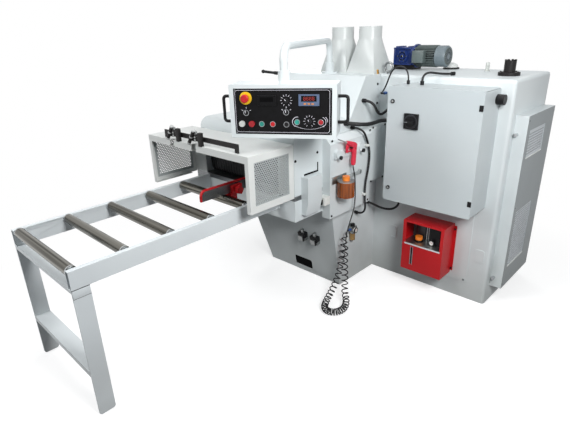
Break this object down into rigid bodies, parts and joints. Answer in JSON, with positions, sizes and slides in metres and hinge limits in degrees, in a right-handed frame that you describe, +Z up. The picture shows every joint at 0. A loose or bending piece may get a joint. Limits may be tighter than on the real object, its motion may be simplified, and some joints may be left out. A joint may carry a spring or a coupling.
{
  "type": "multi-rip saw",
  "caption": "Multi-blade rip saw with infeed roller table, tunnel hood, fence, line lasers, swinging control pendant, motor housing and hinged electrical cabinet.",
  "frame": {"origin": "on the floor, on the underside of the base, below the saw arbor and over the middle line of the roller table", "axes": "+X to the right of an operator who faces the feed, towards the motor housing; +Y along the feed, from the roller table to the outfeed side; +Z up"},
  "size_m": [1.9815, 2.94, 1.795],
  "materials": {
    "machine_white": "fine textured off-white powder coat",
    "cabinet_grey": "light grey powder coat",
    "bright_steel": "turned and ground steel",
    "mesh_grey": "perforated sheet",
    "black_steel": "satin black",
    "gun_red": "moulded",
    "safety_red": "semi-gloss red",
    "cast_grey": "machined casting",
    "belt_rubber": "matte",
    "motor_blue": "blue machine enamel",
    "panel_black": "matte black film",
    "button_red": "moulded",
    "button_green": "moulded",
    "plastic_black": "moulded",
    "lock_chrome": "plated",
    "amber_plastic": "translucent amber",
    "air_fitting": "cast and anodised",
    "hose_black": "polyurethane tube"
  },
  "bodies": {
    "frame": {"base_frame": "machine_white", "machine_bed": "bright_steel", "main_housing": "machine_white", "saw_head": "machine_white", "dust_hoods": "machine_white", "motor_housing": "machine_white", "motor_side_cover": "machine_white", "access_plate": "machine_white", "side_covers": "machine_white", "infeed_rails": "machine_white", "leg_frame": "machine_white", "tunnel_hood": "machine_white", "mesh_panels": "mesh_grey", "laser_bar": "black_steel", "fence_bar": "bright_steel", "finger_shaft": "bright_steel", "bearing_blocks": "cast_grey", "main_motor": "cast_grey", "drive_belts": "belt_rubber", "feed_gearmotor": "motor_blue", "cabinet_box": "cabinet_grey", "lubricator": "safety_red", "oil_cup": "amber_plastic", "air_gun": "gun_red", "air_units": "air_fitting", "coil_hose": "hose_black", "cables_and_glands": "plastic_black"},
    "infeed_roller_1": {"infeed_roller_1": "bright_steel"},
    "infeed_roller_2": {"infeed_roller_2": "bright_steel"},
    "infeed_roller_3": {"infeed_roller_3": "bright_steel"},
    "infeed_roller_4": {"infeed_roller_4": "bright_steel"},
    "infeed_roller_5": {"infeed_roller_5": "bright_steel"},
    "laser_left": {"laser_left": "black_steel"},
    "laser_right": {"laser_right": "black_steel"},
    "fence": {"fence": "safety_red"},
    "fence_clamp": {"fence_clamp": "safety_red"},
    "antikick_fingers": {"antikick_fingers": "bright_steel"},
    "arbor": {"arbor_shaft": "bright_steel", "saw_blades": "bright_steel"},
    "motor_pulley": {"motor_pulley": "cast_grey"},
    "feed_roller_upper": {"feed_roller_upper": "bright_steel"},
    "feed_roller_lower": {"feed_roller_lower": "bright_steel"},
    "pendant_arm": {"pendant_arm": "machine_white"},
    "control_box": {"control_box": "machine_white", "control_panel": "panel_black"},
    "estop_button": {"estop_button": "button_red"},
    "green_button_left": {"green_button_left": "button_green"},
    "red_button_left": {"red_button_left": "button_red"},
    "black_button": {"black_button": "plastic_black"},
    "green_button_right": {"green_button_right": "button_green"},
    "red_button_right": {"red_button_right": "button_red"},
    "selector_left": {"selector_left": "plastic_black"},
    "selector_middle": {"selector_middle": "plastic_black"},
    "speed_knob_upper": {"speed_knob_upper": "plastic_black"},
    "speed_knob_lower": {"speed_knob_lower": "plastic_black"},
    "cabinet_door": {"cabinet_door": "cabinet_grey"},
    "door_lock_lower": {"door_lock_lower": "lock_chrome"},
    "door_lock_upper": {"door_lock_upper": "lock_chrome"},
    "isolator_knob": {"isolator_knob": "plastic_black"},
    "gun_trigger": {"gun_trigger": "black_steel"}
  },
  "joints": [
    {"name": "infeed_roller_1_spin", "type": "hinge", "parent": "frame", "child": "infeed_roller_1", "pos_m": [0, -2.35, 0.804], "axis": [1, 0, 0], "continuous": true},
    {"name": "infeed_roller_2_spin", "type": "hinge", "parent": "frame", "child": "infeed_roller_2", "pos_m": [0, -2.085, 0.804], "axis": [1, 0, 0], "continuous": true},
    {"name": "infeed_roller_3_spin", "type": "hinge", "parent": "frame", "child": "infeed_roller_3", "pos_m": [0, -1.82, 0.804], "axis": [1, 0, 0], "continuous": true},
    {"name": "infeed_roller_4_spin", "type": "hinge", "parent": "frame", "child": "infeed_roller_4", "pos_m": [0, -1.555, 0.804], "axis": [1, 0, 0], "continuous": true},
    {"name": "infeed_roller_5_spin", "type": "hinge", "parent": "frame", "child": "infeed_roller_5", "pos_m": [0, -1.29, 0.804], "axis": [1, 0, 0], "continuous": true},
    {"name": "laser_left_slide", "type": "slide", "parent": "frame", "child": "laser_left", "axis": [1, 0, 0], "range_m": [-0.08, 0.09]},
    {"name": "laser_right_slide", "type": "slide", "parent": "frame", "child": "laser_right", "axis": [1, 0, 0], "range_m": [-0.05, 0.34]},
    {"name": "fence_slide", "type": "slide", "parent": "frame", "child": "fence", "axis": [1, 0, 0], "range_m": [-0.4, 0.12]},
    {"name": "fence_clamp_turn", "type": "hinge", "parent": "fence", "child": "fence_clamp", "pos_m": [0.16, -1.213, 0.858], "axis": [1, 0, 0], "range_deg": [-180, 180]},
    {"name": "antikick_swing", "type": "hinge", "parent": "frame", "child": "antikick_fingers", "pos_m": [0, -0.985, 1.085], "axis": [1, 0, 0], "range_deg": [0, 60]},
    {"name": "arbor_spin", "type": "hinge", "parent": "frame", "child": "arbor", "pos_m": [0, 0, 0.975], "axis": [1, 0, 0], "continuous": true},
    {"name": "motor_pulley_spin", "type": "hinge", "parent": "frame", "child": "motor_pulley", "pos_m": [0.645, 0.23, 0.45], "axis": [1, 0, 0], "continuous": true},
    {"name": "feed_roller_upper_spin", "type": "hinge", "parent": "frame", "child": "feed_roller_upper", "pos_m": [0, -0.56, 0.94], "axis": [1, 0, 0], "continuous": true},
    {"name": "feed_roller_lower_spin", "type": "hinge", "parent": "frame", "child": "feed_roller_lower", "pos_m": [0, -0.56, 0.772], "axis": [1, 0, 0], "continuous": true},
    {"name": "pendant_arm_swing", "type": "hinge", "parent": "frame", "child": "pendant_arm", "pos_m": [0.142, -0.25, 1.53], "axis": [0, 0, 1], "range_deg": [-30, 25]},
    {"name": "control_box_swivel", "type": "hinge", "parent": "pendant_arm", "child": "control_box", "pos_m": [0.588, -1.192, 1.55], "axis": [0, 0, 1], "range_deg": [-31, 49]},
    {"name": "estop_press", "type": "slide", "parent": "control_box", "child": "estop_button", "axis": [-0.5225, 0.8526, 0], "range_m": [0, 0.005], "stiffness_N_per_m": 1200},
    {"name": "green_button_left_press", "type": "slide", "parent": "control_box", "child": "green_button_left", "axis": [-0.5225, 0.8526, 0], "range_m": [0, 0.004], "stiffness_N_per_m": 600},
    {"name": "red_button_left_press", "type": "slide", "parent": "control_box", "child": "red_button_left", "axis": [-0.5225, 0.8526, 0], "range_m": [0, 0.004], "stiffness_N_per_m": 600},
    {"name": "black_button_press", "type": "slide", "parent": "control_box", "child": "black_button", "axis": [-0.5225, 0.8526, 0], "range_m": [0, 0.004], "stiffness_N_per_m": 600},
    {"name": "green_button_right_press", "type": "slide", "parent": "control_box", "child": "green_button_right", "axis": [-0.5225, 0.8526, 0], "range_m": [0, 0.004], "stiffness_N_per_m": 600},
    {"name": "red_button_right_press", "type": "slide", "parent": "control_box", "child": "red_button_right", "axis": [-0.5225, 0.8526, 0], "range_m": [0, 0.004], "stiffness_N_per_m": 600},
    {"name": "selector_left_turn", "type": "hinge", "parent": "control_box", "child": "selector_left", "pos_m": [0.45831, -1.35357, 1.385], "axis": [-0.5225, 0.8526, 0], "range_deg": [-45, 45]},
    {"name": "selector_middle_turn", "type": "hinge", "parent": "control_box", "child": "selector_middle", "pos_m": [0.64333, -1.24019, 1.389], "axis": [-0.5225, 0.8526, 0], "range_deg": [-45, 45]},
    {"name": "speed_knob_upper_turn", "type": "hinge", "parent": "control_box", "child": "speed_knob_upper", "pos_m": [0.64419, -1.23967, 1.449], "axis": [-0.5225, 0.8526, 0], "range_deg": [-140, 140]},
    {"name": "speed_knob_lower_turn", "type": "hinge", "parent": "control_box", "child": "speed_knob_lower", "pos_m": [0.7465, -1.17697, 1.343], "axis": [-0.5225, 0.8526, 0], "range_deg": [-140, 140]},
    {"name": "cabinet_door_hinge", "type": "hinge", "parent": "frame", "child": "cabinet_door", "pos_m": [1.327, -0.3735, 1.0625], "axis": [0, 0, 1], "range_deg": [0, 120]},
    {"name": "door_lock_lower_turn", "type": "hinge", "parent": "cabinet_door", "child": "door_lock_lower", "pos_m": [0.754, -0.377, 0.775], "axis": [0, 1, 0], "range_deg": [0, 90]},
    {"name": "door_lock_upper_turn", "type": "hinge", "parent": "cabinet_door", "child": "door_lock_upper", "pos_m": [0.754, -0.377, 1.349], "axis": [0, 1, 0], "range_deg": [0, 90]},
    {"name": "isolator_turn", "type": "hinge", "parent": "cabinet_door", "child": "isolator_knob", "pos_m": [0.893, -0.386, 1.235], "axis": [0, 1, 0], "range_deg": [0, 90]},
    {"name": "gun_trigger_pull", "type": "hinge", "parent": "frame", "child": "gun_trigger", "pos_m": [0.606, -0.6358, 1.0898], "axis": [1, 0, 0], "range_deg": [0, 12], "stiffness_Nm_per_rad": 0.6}
  ],
  "couplings": [
    {"joint": "motor_pulley_spin", "follows": "arbor_spin", "ratio": 0.7},
    {"joint": "feed_roller_lower_spin", "follows": "feed_roller_upper_spin", "ratio": -1}
  ]
}
